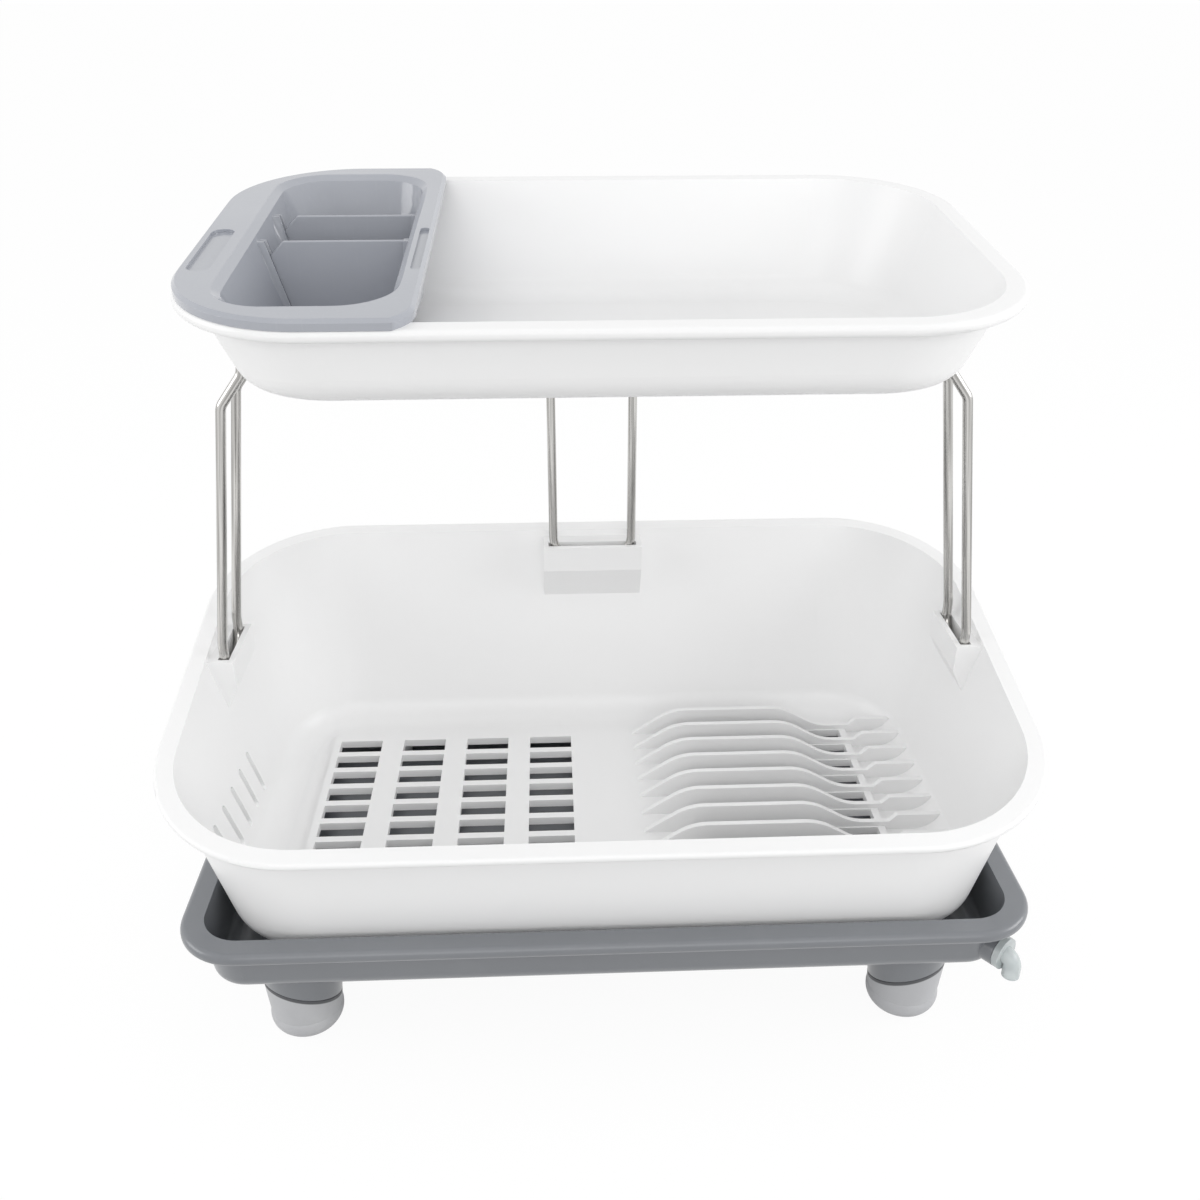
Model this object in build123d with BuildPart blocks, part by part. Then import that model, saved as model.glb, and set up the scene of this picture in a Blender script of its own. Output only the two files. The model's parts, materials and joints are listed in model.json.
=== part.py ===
from build123d import *
import math
import os

# Two-tier dish drying rack: a drip tray on four feet, a high-backed basket standing in it,
# three bent wire legs and an upper tray that carries a cutlery holder.
# Millimetres. The origin is on the table under the middle of the basket, -Y is the front.

# Feet of the drip tray
foot_x = 151.5
foot_front_y = -88.0
foot_back_y = 72.0
foot_top_radius = 20.5
foot_mid_radius = 17.5
foot_sole_radius = 9.0
foot_mid_height = 12.0
foot_seam_height = 25.0
foot_seam_tilt = 25.0
foot_stud_radius = 8.0
foot_stud_drop = 14.0
foot_edge_break = 0.7

# Drip tray
drip_underside_z = 47.0
drip_rim_z = 79.0
drip_length = 402.0
drip_front_y = -129.0
drip_back_y = 116.0
drip_corner = 30.0
drip_rim_width = 11.0
drip_lip_height = 6.5
drip_draft = 4.0
drip_floor_round = 8.0
drip_wall = 2.4

# Drain spout at the front right corner of the drip tray
spout_angle = 52.0
spout_axis_height = 11.5
spout_radius = 6.0
spout_bore_radius = 3.0
spout_nozzle_radius = 4.2
spout_collar_radius = 8.0
spout_collar_length = 3.0
spout_boss_length = 2.0
spout_reach = 7.0
spout_drop = 10.0
spout_bend = 5.0
spout_catch = 0.9
spout_catch_length = 1.2
spout_seat = 3.2
spout_fit = 0.08
spout_play = 0.3

# Lower basket
basket_length = 430.0
basket_front_y = -126.0
basket_back_y = 129.0
basket_corner = 74.0
basket_front_height = 63.0
basket_back_height = 116.0
basket_rim_width = 7.0
basket_rim_thick = 4.0
basket_wall = 2.4
basket_floor_length = 362.0
basket_floor_front_y = -112.0
basket_floor_back_y = 97.0
basket_floor_corner = 44.0
basket_floor_round = 14.0
basket_inside_round = 16.0
basket_stand = 12.0
basket_pad_radius = 6.0
basket_pad_x = 118.0
basket_pad_front_y = -97.0
basket_pad_back_y = 78.0

# Drain slots and plate ribs of the basket floor
panel_rise = 2.0
panel_margin = 4.0
slot_rows = 10
row_pitch = 16.0
first_row_y = 60.0
slot_width = 11.5
slot_length = 24.5
slot_columns = 4
column_pitch = 37.5
first_column_x = -27.0
rib_thick = 3.0
rib_start_x = 22.0
rib_top_start_x = 46.0
rib_top_end_x = 112.0
rib_low_start_x = 134.0
rib_low_end_x = 154.0
rib_end_x = 158.0
rib_height = 16.0
rib_low_height = 3.0
rib_end_height = 7.0
rib_bend = 28.0
rib_step_bend = 2.0
gutter_start_x = 50.0
gutter_end_x = 148.0
vent_count = 5
vent_width = 4.0
vent_bottom = 14.0
vent_top = 38.0
vent_first_y = 2.0

# Wire legs
wire = 5.0
end_leg_y = 30.0
end_leg_spread = 32.0
leg_from_basket_end = 18.0
leg_from_tray_end = 8.0
leg_joggle = 12.0
end_leg_shoulder_z = 290.0
end_leg_top_z = 306.0
end_leg_bend = 10.0
back_leg_y = 107.0
back_leg_spread = 46.0
back_leg_bend = 14.0
joggle_bend = 9.0
lean_bend = 30.0
socket_depth = 12.0
socket_gap = 0.4
socket_wall = 3.0
socket_below_rim = 1.0
socket_play = 0.3
lean_above_socket = 8.0

# Upper tray
upper_length = 352.0
upper_front_y = -100.0
upper_back_y = 116.0
upper_corner = 60.0
upper_underside_z = 319.0
upper_front_height = 34.0
upper_back_height = 62.0
upper_rim_width = 7.0
upper_rim_thick = 5.0
upper_wall = 2.4
upper_floor_length = 301.0
upper_floor_front_y = -84.0
upper_floor_back_y = 98.0
upper_floor_corner = 44.0
upper_floor_round = 16.0
upper_inside_round = 14.0
upper_socket_height = 24.0
upper_socket_lift = 2.0
upper_socket_reach = 26.0
upper_socket_wall = 4.0
upper_socket_corner = 4.0
leg_hole_depth = 13.0
leg_hole_fit = 0.08
dome_x = 103.0
dome_front_y = -48.0
dome_back_y = 62.0
dome_radius = 15.0
dome_height = 4.0

# Cutlery holder
holder_front_y = -103.0
holder_back_y = 119.0
holder_corner = 20.0
holder_flange = 4.5
holder_flange_bevel = 1.5
holder_lip_bevel = 2.5
holder_rim_inset = 1.0
holder_mouth_from_end = 22.0
holder_mouth_length = 70.0
holder_right_flange = 10.0
holder_mouth_front_y = -84.0
holder_mouth_back_y = 100.0
holder_mouth_corner = 22.0
holder_left_taper = 14.0
holder_base_length = 52.0
holder_base_front_y = -62.0
holder_base_back_y = 80.0
holder_base_corner = 16.0
holder_wall = 2.0
holder_floor_gap = 6.0
holder_round = 4.0
grip_length = 56.0
left_grip_from_end = 10.0
left_grip_width = 10.0
right_grip_from_mouth = 6.4
right_grip_width = 4.0
grip_depth = 1.4
grip_y = -16.0
drain_hole_radius = 3.0
drain_hole_pitch = 16.0
drain_hole_rows = 8

# Slide-in dividers of the cutlery holder
divider_thick = 1.8
divider_front_y = 11.0
divider_rear_y = 49.0
divider_below_rim = 5.0
divider_chamfer = 13.0
divider_gap = 0.3
guide_depth = 3.0
guide_width = 2.0

# Levels and planes that follow from the sizes above
drip_floor_z = drip_underside_z + drip_wall
basket_underside_z = drip_floor_z + basket_stand
basket_floor_z = basket_underside_z + basket_wall
panel_z = basket_floor_z + panel_rise
upper_floor_z = upper_underside_z + upper_wall
end_leg_foot_x = basket_length / 2 - leg_from_basket_end
end_leg_top_x = upper_length / 2 - leg_from_tray_end
end_leg_shoulder_x = end_leg_top_x + leg_joggle
holder_left_x = -upper_length / 2 - holder_corner
holder_mouth_left_x = -upper_length / 2 + holder_mouth_from_end
holder_mouth_right_x = holder_mouth_left_x + holder_mouth_length
holder_right_x = holder_mouth_right_x + holder_right_flange
holder_base_left_x = holder_mouth_left_x + holder_left_taper
left_grip_x = -upper_length / 2 + left_grip_from_end
right_grip_x = holder_mouth_right_x + right_grip_from_mouth
spout_z = drip_underside_z + spout_axis_height


def sloped_plane(front_y, back_y, front_z, back_z):
    """Plane of a rim that climbs from the front to the back, centred between the two."""
    run = back_y - front_y
    rise = back_z - front_z
    middle = (0, (front_y + back_y) / 2, (front_z + back_z) / 2)
    return Plane(origin=middle, x_dir=(1, 0, 0), z_dir=(0, -rise, run))


def slope_length(front_y, back_y, front_z, back_z):
    """Depth of a sloped rim measured along its own plane."""
    return math.hypot(back_y - front_y, back_z - front_z)


def height_on(plane, y):
    """Height of a sloped rim plane above a point of the table."""
    return plane.origin.Z - (y - plane.origin.Y) * plane.z_dir.Y / plane.z_dir.Z


def tub_block(base_plane, base_size, top_plane, top_size, bottom_round):
    """Solid between a rounded floor outline and a rounded mouth outline, its bottom edge rounded."""
    with BuildPart() as block:
        with BuildSketch(base_plane):
            RectangleRounded(*base_size)
        with BuildSketch(top_plane):
            RectangleRounded(*top_size)
        loft()
        bottom = block.faces().sort_by(Axis.Z)[0]
        fillet(bottom.edges(), bottom_round)
    return block.part


def rim_slab(plane, size, thick):
    """Plate of a rolled rim, hanging below its plane, with a round outer edge."""
    with BuildPart() as slab:
        with BuildSketch(plane):
            RectangleRounded(*size)
        extrude(amount=-thick)
        across = Axis(plane.origin, plane.z_dir)
        flat_faces = slab.faces().sort_by(across)
        fillet(flat_faces[0].edges() + flat_faces[-1].edges(), thick * 0.45)
    return slab.part


def shrunk(size, inset):
    """Length, depth and corner radius of an outline moved inwards by the same amount all round."""
    return (size[0] - 2 * inset, size[1] - 2 * inset, size[2] - inset)


def write(part, name):
    part.label = name
    export_step(part, f"parts/{name}.step")


os.makedirs("parts", exist_ok=True)

# Foot: one turned shape, cut by a slanted seam into a boss of the tray and a separate sole
foot_places = {
    "front_left": (-foot_x, foot_front_y),
    "front_right": (foot_x, foot_front_y),
    "back_left": (-foot_x, foot_back_y),
    "back_right": (foot_x, foot_back_y),
}


def foot_seam(x, y):
    """Seam plane of a foot, high on the side that faces the nearest corner of the tray."""
    outward = math.copysign(1, x), math.copysign(1, y)
    lean = math.tan(math.radians(foot_seam_tilt)) / math.sqrt(2)
    tilt = Vector(-outward[0] * lean, -outward[1] * lean, 1)
    return Plane(origin=(x, y, foot_seam_height), z_dir=tilt)


def foot_shape(x, y):
    """Whole foot as turned, from the table to the underside of the drip tray."""
    with BuildPart() as foot:
        with BuildSketch(Plane(origin=(x, y, 0), x_dir=(1, 0, 0), z_dir=(0, -1, 0))):
            with BuildLine():
                sole = Line((0, 0), (foot_sole_radius, 0))
                cheek = TangentArc(sole @ 1, (foot_mid_radius, foot_mid_height), tangent=sole % 1)
                side = Line(cheek @ 1, (foot_top_radius, drip_underside_z))
                top = Line(side @ 1, (0, drip_underside_z))
                Line(top @ 1, sole @ 0)
            make_face()
        revolve(axis=Axis((x, y, 0), (0, 0, 1)))
    return foot.part


def foot_boss(x, y):
    """Upper part of a foot, moulded with the tray, with the stud that the sole is pressed on."""
    with BuildPart() as boss:
        add(foot_shape(x, y))
        split(bisect_by=foot_seam(x, y), keep=Keep.TOP)
        with BuildSketch(Plane.XY.offset(foot_seam_height - foot_stud_drop)):
            with Locations((x, y)):
                Circle(foot_stud_radius)
        extrude(amount=foot_stud_drop)
    return boss.part


for corner, (x, y) in foot_places.items():
    with BuildPart() as sole:
        add(foot_shape(x, y))
        split(bisect_by=foot_seam(x, y), keep=Keep.BOTTOM)
        seam_face = sole.faces().sort_by(Axis.Z)[-1]
        chamfer(seam_face.edges(), foot_edge_break)
        add(foot_boss(x, y), mode=Mode.SUBTRACT)
    write(sole.part, f"{corner}_foot_sole")

# Drip tray: shallow tub with a wide flat rim, a turned-down lip and four foot bosses
drip_depth = drip_back_y - drip_front_y
drip_middle_y = (drip_front_y + drip_back_y) / 2
drip_rim_plane = Plane((0, drip_middle_y, drip_rim_z))
drip_base_plane = Plane((0, drip_middle_y, drip_underside_z))
drip_floor_plane = Plane((0, drip_middle_y, drip_floor_z))
drip_rim_size = (drip_length, drip_depth, drip_corner)
drip_mouth_size = shrunk(drip_rim_size, drip_rim_width)
drip_wall_size = shrunk(drip_mouth_size, -drip_wall)
drip_base_size = shrunk(drip_wall_size, drip_draft)
spout_out = Vector(1, 0, 0).rotate(Axis.Z, -spout_angle)
spout_corner = Vector(drip_length / 2 - drip_corner, drip_front_y + drip_corner, spout_z)
spout_face = spout_corner + spout_out * (drip_wall_size[2] + spout_boss_length)
spout_plane = Plane(origin=spout_face, z_dir=spout_out)

with BuildPart() as drip_tray:
    add(tub_block(drip_base_plane, drip_base_size, drip_rim_plane, drip_wall_size, drip_floor_round))
    add(rim_slab(drip_rim_plane, drip_rim_size, drip_lip_height))
    # hollow under the rim, between the wall and the turned-down lip
    with BuildSketch(drip_rim_plane.offset(-drip_lip_height)):
        RectangleRounded(*shrunk(drip_rim_size, drip_wall))
        RectangleRounded(*drip_wall_size, mode=Mode.SUBTRACT)
    extrude(amount=drip_lip_height - drip_wall, mode=Mode.SUBTRACT)
    # flat boss that the collar of the drain spout turns against
    with BuildSketch(spout_plane):
        Circle(spout_collar_radius)
    extrude(amount=-2 * spout_collar_radius)
    add(
        tub_block(
            drip_floor_plane,
            shrunk(drip_base_size, drip_wall),
            drip_rim_plane,
            drip_mouth_size,
            drip_floor_round - drip_wall,
        ),
        mode=Mode.SUBTRACT,
    )
    with BuildSketch(spout_plane):
        Circle(spout_radius + spout_fit)
    extrude(amount=-2 * spout_collar_radius, mode=Mode.SUBTRACT)
    for x, y in foot_places.values():
        add(foot_boss(x, y))
write(drip_tray.part, "drip_tray")

# Drain spout: hollow shank through the corner, collar outside, catch inside, nozzle turned down
spout_inside = spout_boss_length + drip_wall + drip_draft + spout_seat
spout_collar = spout_face + spout_out * spout_play
spout_start = spout_face - spout_out * spout_inside
spout_elbow = spout_collar + spout_out * spout_reach
spout_mouth = spout_elbow - Vector(0, 0, spout_drop)
spout_start_plane = Plane(origin=spout_start, z_dir=spout_out)

with BuildPart() as drain_spout:
    with BuildLine() as spout_path:
        FilletPolyline(spout_start, spout_elbow, spout_mouth, radius=spout_bend)
    with BuildSketch(spout_start_plane):
        Circle(spout_nozzle_radius)
    sweep(path=spout_path.wires()[0])
    with BuildSketch(spout_start_plane):
        Circle(spout_radius + spout_catch)
    extrude(amount=spout_catch_length)
    with BuildSketch(spout_start_plane):
        Circle(spout_radius)
    extrude(amount=spout_inside + spout_play)
    with BuildSketch(Plane(origin=spout_collar, z_dir=spout_out)):
        Circle(spout_collar_radius)
    extrude(amount=spout_collar_length)
    with BuildSketch(spout_start_plane):
        Circle(spout_bore_radius)
    sweep(path=spout_path.wires()[0], mode=Mode.SUBTRACT)
write(drain_spout.part, "drain_spout")

# Lower basket: flared tub whose rim climbs to a high back
basket_front_z = basket_floor_z + basket_front_height
basket_back_z = basket_floor_z + basket_back_height
basket_rim_line = (basket_front_y, basket_back_y, basket_front_z, basket_back_z)
basket_rim_plane = sloped_plane(*basket_rim_line)
basket_rim_size = (basket_length, slope_length(*basket_rim_line), basket_corner)
basket_wall_size = shrunk(basket_rim_size, basket_rim_width)
basket_mouth_size = shrunk(basket_wall_size, basket_wall)
basket_base_y = (basket_floor_front_y + basket_floor_back_y) / 2
basket_base_depth = basket_floor_back_y - basket_floor_front_y
basket_base_size = (basket_floor_length, basket_base_depth, basket_floor_corner)
basket_base_plane = Plane((0, basket_base_y, basket_underside_z))
basket_floor_plane = Plane((0, basket_base_y, basket_floor_z))

basket_outside = tub_block(
    basket_base_plane, basket_base_size, basket_rim_plane, basket_wall_size, basket_floor_round
)
basket_inside = tub_block(
    basket_floor_plane,
    shrunk(basket_base_size, basket_wall),
    basket_rim_plane,
    basket_mouth_size,
    basket_inside_round,
)

# Sockets on the inner walls that the closed lower ends of the legs drop into
socket_half = wire / 2 + socket_gap
end_socket_width = end_leg_spread + 2 * (socket_half + socket_wall)
back_socket_width = back_leg_spread + 2 * (socket_half + socket_wall)
end_socket_z = height_on(basket_rim_plane, end_leg_y - end_socket_width / 2) - socket_below_rim
back_socket_z = height_on(basket_rim_plane, back_leg_y) - socket_below_rim
end_socket_floor_z = end_socket_z - socket_depth
back_socket_floor_z = back_socket_z - socket_depth


def socket_boss(plane, face, top_z, width):
    """Wedge that grows out of a wall: flat on top, slanted below, cut to the basket's outside."""
    lower_z = top_z - socket_depth - socket_wall
    outside = basket_length / 2
    with BuildPart() as boss:
        with BuildSketch(plane):
            with BuildLine():
                Polyline(
                    (face, top_z),
                    (outside, top_z),
                    (outside, lower_z - 2 * (outside - face)),
                    (face, lower_z),
                    close=True,
                )
            make_face()
        extrude(amount=width / 2, both=True)
        add(basket_outside, mode=Mode.INTERSECT)
    return boss.part


end_socket_face_x = end_leg_foot_x - socket_half - socket_wall
back_socket_face_y = back_leg_y - socket_half - socket_wall
end_socket_plane = Plane(origin=(0, end_leg_y, 0), x_dir=(1, 0, 0), z_dir=(0, -1, 0))
left_socket_plane = Plane(origin=(0, end_leg_y, 0), x_dir=(-1, 0, 0), z_dir=(0, 1, 0))
back_socket_plane = Plane(origin=(0, 0, 0), x_dir=(0, 1, 0), z_dir=(1, 0, 0))

# Rows of the floor, from the back to the front, and the bars between them
row_places = [first_row_y - row * row_pitch for row in range(slot_rows)]
bar_places = [first_row_y + (0.5 - bar) * row_pitch for bar in range(slot_rows + 1)]
column_places = [first_column_x - column * column_pitch for column in range(slot_columns)]
panel_left_x = column_places[-1] - slot_length / 2 - panel_margin
panel_right_x = gutter_end_x + panel_margin
panel_back_y = bar_places[0] + rib_thick / 2 + panel_margin
panel_front_y = bar_places[-1] - rib_thick / 2 - panel_margin
panel_middle = ((panel_left_x + panel_right_x) / 2, (panel_front_y + panel_back_y) / 2)
panel_plane = Plane.XY.offset(panel_z)

with BuildPart() as lower_basket:
    add(basket_outside)
    add(rim_slab(basket_rim_plane, basket_rim_size, basket_rim_thick))
    add(basket_inside, mode=Mode.SUBTRACT)
    # raised drain panel, kept within the rounded floor
    with BuildSketch(panel_plane):
        with Locations(panel_middle):
            Rectangle(panel_right_x - panel_left_x, panel_back_y - panel_front_y)
    extrude(amount=-panel_rise)
    # drain slots on the left, long gutters between the plate ribs on the right
    gutter_length = gutter_end_x - gutter_start_x
    with BuildSketch(panel_plane):
        for y in row_places:
            with Locations([(x, y) for x in column_places]):
                Rectangle(slot_length, slot_width)
            with Locations(((gutter_start_x + gutter_end_x) / 2, y)):
                Rectangle(gutter_length, slot_width)
    extrude(amount=-(panel_rise + 2 * basket_wall), mode=Mode.SUBTRACT)
    # upright vents low in the left-hand end
    with BuildSketch(Plane.YZ.offset(-basket_length / 2)):
        vent_middle_z = basket_floor_z + (vent_bottom + vent_top) / 2
        for vent in range(vent_count):
            with Locations((vent_first_y - vent * row_pitch, vent_middle_z)):
                SlotOverall(vent_top - vent_bottom, vent_width, rotation=90)
    extrude(amount=basket_length / 4, mode=Mode.SUBTRACT)
    # short stands that keep the floor above the drip tray
    with BuildSketch(Plane.XY.offset(drip_floor_z)):
        for y in (basket_pad_front_y, basket_pad_back_y):
            with Locations((-basket_pad_x, y), (basket_pad_x, y)):
                Circle(basket_pad_radius)
    extrude(amount=basket_stand + basket_wall / 2)
    # leg sockets and their pockets
    add(socket_boss(end_socket_plane, end_socket_face_x, end_socket_z, end_socket_width))
    add(socket_boss(left_socket_plane, end_socket_face_x, end_socket_z, end_socket_width))
    add(socket_boss(back_socket_plane, back_socket_face_y, back_socket_z, back_socket_width))
    with BuildSketch(Plane.XY.offset(end_socket_z)):
        with Locations((-end_leg_foot_x, end_leg_y), (end_leg_foot_x, end_leg_y)):
            Rectangle(2 * socket_half, end_leg_spread + 2 * socket_half)
    extrude(amount=-socket_depth, mode=Mode.SUBTRACT)
    with BuildSketch(Plane.XY.offset(back_socket_z)):
        with Locations((0, back_leg_y)):
            Rectangle(back_leg_spread + 2 * socket_half, 2 * socket_half)
    extrude(amount=-socket_depth, mode=Mode.SUBTRACT)
write(lower_basket.part, "lower_basket")

# Plate ribs: one fin on each bar of the floor, raised in the middle to hold a plate's edge,
# low over the gutters and stepped up again where it meets the right-hand wall
with BuildPart() as plate_ribs:
    for y in bar_places:
        with BuildSketch(Plane(origin=(0, y, panel_z), x_dir=(1, 0, 0), z_dir=(0, -1, 0))):
            with BuildLine():
                crest = FilletPolyline(
                    (rib_start_x, 0),
                    (rib_top_start_x, rib_height),
                    (rib_top_end_x, rib_height),
                    (rib_low_start_x, rib_low_height),
                    (rib_low_end_x, rib_low_height),
                    (rib_end_x, rib_end_height),
                    (basket_length / 2, rib_end_height),
                    radius=[rib_bend, rib_bend, rib_bend, rib_step_bend, rib_step_bend],
                )
                Polyline(
                    crest @ 1,
                    (basket_length / 2, -panel_rise),
                    (panel_right_x, -panel_rise),
                    (panel_right_x, 0),
                    crest @ 0,
                )
            make_face()
        extrude(amount=rib_thick / 2, both=True)
    add(basket_inside, mode=Mode.INTERSECT)
write(plate_ribs.part, "plate_ribs")

# Wire legs: each is one bent rod with a closed lower end and two upright tips
upper_socket_z = upper_underside_z + upper_socket_lift
leg_tip_z = upper_socket_z + leg_hole_depth


def wire_leg(route, radii):
    """Round rod swept along straight runs joined by bends."""
    with BuildPart() as leg:
        with BuildLine() as centre:
            FilletPolyline(*route, radius=radii)
        with BuildSketch(Plane(origin=route[0], z_dir=(0, 0, -1))):
            Circle(wire / 2)
        sweep(path=centre.wires()[0])
    return leg.part


def end_leg(side):
    """Leg under one end of the upper tray: upright in its socket, leaning in, then joggled to the tray."""
    foot_z = end_socket_floor_z + socket_play + wire / 2
    rise = [
        (end_leg_top_x, leg_tip_z),
        (end_leg_top_x, end_leg_top_z),
        (end_leg_shoulder_x, end_leg_shoulder_z),
        (end_leg_foot_x, end_socket_z + lean_above_socket),
        (end_leg_foot_x, foot_z),
    ]
    front = [(side * x, end_leg_y - end_leg_spread / 2, z) for x, z in rise]
    rear = [(side * x, end_leg_y + end_leg_spread / 2, z) for x, z in rise]
    upper_radii = [joggle_bend, joggle_bend, lean_bend]
    radii = upper_radii + [end_leg_bend, end_leg_bend] + upper_radii[::-1]
    return wire_leg(front + rear[::-1], radii)


def back_leg():
    """Upright leg behind the upper tray."""
    foot_z = back_socket_floor_z + socket_play + wire / 2
    half = back_leg_spread / 2
    route = [
        (-half, back_leg_y, leg_tip_z),
        (-half, back_leg_y, foot_z),
        (half, back_leg_y, foot_z),
        (half, back_leg_y, leg_tip_z),
    ]
    return wire_leg(route, [back_leg_bend, back_leg_bend])


write(end_leg(-1), "left_leg")
write(end_leg(1), "right_leg")
write(back_leg(), "back_leg")

# Upper tray: shallow flared tub with its rim climbing to the back
upper_front_z = upper_underside_z + upper_front_height
upper_back_z = upper_underside_z + upper_back_height
upper_rim_line = (upper_front_y, upper_back_y, upper_front_z, upper_back_z)
upper_rim_plane = sloped_plane(*upper_rim_line)
upper_rim_size = (upper_length, slope_length(*upper_rim_line), upper_corner)
upper_wall_size = shrunk(upper_rim_size, upper_rim_width)
upper_mouth_size = shrunk(upper_wall_size, upper_wall)
upper_base_y = (upper_floor_front_y + upper_floor_back_y) / 2
upper_base_depth = upper_floor_back_y - upper_floor_front_y
upper_base_size = (upper_floor_length, upper_base_depth, upper_floor_corner)
upper_base_plane = Plane((0, upper_base_y, upper_underside_z))
upper_floor_plane = Plane((0, upper_base_y, upper_floor_z))
leg_tips = [
    (side * end_leg_top_x, end_leg_y + along * end_leg_spread / 2)
    for side in (-1, 1)
    for along in (-1, 1)
]
leg_tips += [(side * back_leg_spread / 2, back_leg_y) for side in (-1, 1)]
tip_half = wire / 2 + upper_socket_wall
dome_sphere = (dome_radius**2 + dome_height**2) / (2 * dome_height)

with BuildPart() as upper_tray:
    add(tub_block(upper_base_plane, upper_base_size, upper_rim_plane, upper_wall_size, upper_floor_round))
    add(rim_slab(upper_rim_plane, upper_rim_size, upper_rim_thick))
    # blocks outside the end walls and the back wall that hold the tips of the legs
    end_block_depth = end_leg_spread + 2 * tip_half
    back_block_length = back_leg_spread + 2 * tip_half
    with BuildSketch(Plane.XY.offset(upper_socket_z)):
        for side in (-1, 1):
            with Locations((side * (end_leg_top_x + tip_half - upper_socket_reach / 2), end_leg_y)):
                RectangleRounded(upper_socket_reach, end_block_depth, upper_socket_corner)
        with Locations((0, back_leg_y + tip_half - upper_socket_reach / 2)):
            RectangleRounded(back_block_length, upper_socket_reach, upper_socket_corner)
    extrude(amount=upper_socket_height)
    add(
        tub_block(
            upper_floor_plane,
            shrunk(upper_base_size, upper_wall),
            upper_rim_plane,
            upper_mouth_size,
            upper_inside_round,
        ),
        mode=Mode.SUBTRACT,
    )
    with BuildSketch(Plane.XY.offset(upper_socket_z)):
        with Locations(leg_tips):
            Circle(wire / 2 + leg_hole_fit)
    extrude(amount=leg_hole_depth, mode=Mode.SUBTRACT)
    # low domes that the tray stands on when it is used by itself
    for x in (-dome_x, dome_x):
        for y in (dome_front_y, dome_back_y):
            with BuildSketch(Plane(origin=(x, y, upper_underside_z), x_dir=(1, 0, 0), z_dir=(0, -1, 0))):
                with BuildLine():
                    rim_run = Line((0, 0), (dome_radius, 0))
                    RadiusArc(rim_run @ 1, (0, -dome_height), dome_sphere)
                    Line((0, -dome_height), rim_run @ 0)
                make_face()
            revolve(axis=Axis((x, y, 0), (0, 0, 1)))
write(upper_tray.part, "upper_tray")

# Cutlery holder: tapered box hung by a flange that follows the rim of the upper tray
slope_stretch = upper_rim_size[1] / (upper_back_y - upper_front_y)
holder_floor_z = upper_floor_z + holder_floor_gap + holder_wall
mouth_x = holder_mouth_left_x + holder_mouth_length / 2
mouth_y = (holder_mouth_front_y + holder_mouth_back_y) / 2
base_x = holder_base_left_x + holder_base_length / 2
base_y = (holder_base_front_y + holder_base_back_y) / 2
mouth_size = (
    holder_mouth_length,
    (holder_mouth_back_y - holder_mouth_front_y) * slope_stretch,
    holder_mouth_corner,
)
base_size = (
    holder_base_length,
    holder_base_back_y - holder_base_front_y,
    holder_base_corner,
)
flange_top_plane = upper_rim_plane.offset(holder_flange)


def plane_at(plane, x, y):
    """A sloped plane with its origin moved above a point of the table."""
    return Plane(origin=(x, y, height_on(plane, y)), x_dir=(1, 0, 0), z_dir=plane.z_dir)


def holder_block(floor_z, inset):
    """Inside of the holder, from a floor height to just above the flange, moved inwards by an inset."""
    return tub_block(
        Plane((base_x, base_y, floor_z)),
        shrunk(base_size, inset),
        plane_at(flange_top_plane.offset(holder_wall), mouth_x, mouth_y),
        shrunk(mouth_size, inset),
        holder_round,
    )


def divider_top(y):
    """Height of a divider's upper edge, a little below the flange."""
    return height_on(flange_top_plane, y) - divider_below_rim


def flange_plate():
    """Plate that lies on the rim of the tray and is trimmed to the tray's outline."""
    middle_x = (holder_left_x + holder_right_x) / 2
    middle_y = (holder_front_y + holder_back_y) / 2 - upper_rim_plane.origin.Y
    depth = holder_back_y - holder_front_y
    with BuildPart() as plate:
        with BuildSketch(upper_rim_plane):
            with Locations((middle_x, middle_y * slope_stretch)):
                RectangleRounded(holder_right_x - holder_left_x, depth * slope_stretch, holder_corner)
            RectangleRounded(*shrunk(upper_rim_size, holder_rim_inset), mode=Mode.INTERSECT)
        extrude(amount=holder_flange)
    return plate.part


def holder_cavity():
    """Inside of the holder without the upright guides that stand on both sides of each divider."""
    offset = divider_thick / 2 + divider_gap + guide_width / 2
    with BuildPart() as guides:
        for y in divider_places.values():
            with BuildSketch(Plane((mouth_x, y, holder_floor_z - holder_wall / 2))):
                with Locations((0, -offset), (0, offset)):
                    Rectangle(upper_length / 2, guide_width)
            extrude(amount=divider_top(y) - holder_floor_z + holder_wall / 2)
        add(holder_block(holder_floor_z - holder_wall, guide_depth), mode=Mode.SUBTRACT)
    with BuildPart() as cavity:
        add(holder_block(holder_floor_z, 0))
        add(guides.part, mode=Mode.SUBTRACT)
    return cavity.part


divider_places = {"front": divider_front_y, "rear": divider_rear_y}
hole_clear = drain_hole_radius + guide_width + divider_thick
hole_rows = [base_y + (row - (drain_hole_rows - 1) / 2) * drain_hole_pitch for row in range(drain_hole_rows)]
hole_count = int(base_size[0] // drain_hole_pitch)
hole_columns = [base_x + (column - (hole_count - 1) / 2) * drain_hole_pitch for column in range(hole_count)]
hole_places = [
    (x, y)
    for x in hole_columns
    for y in hole_rows
    if min(abs(y - divider_y) for divider_y in divider_places.values()) > hole_clear
]

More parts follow.
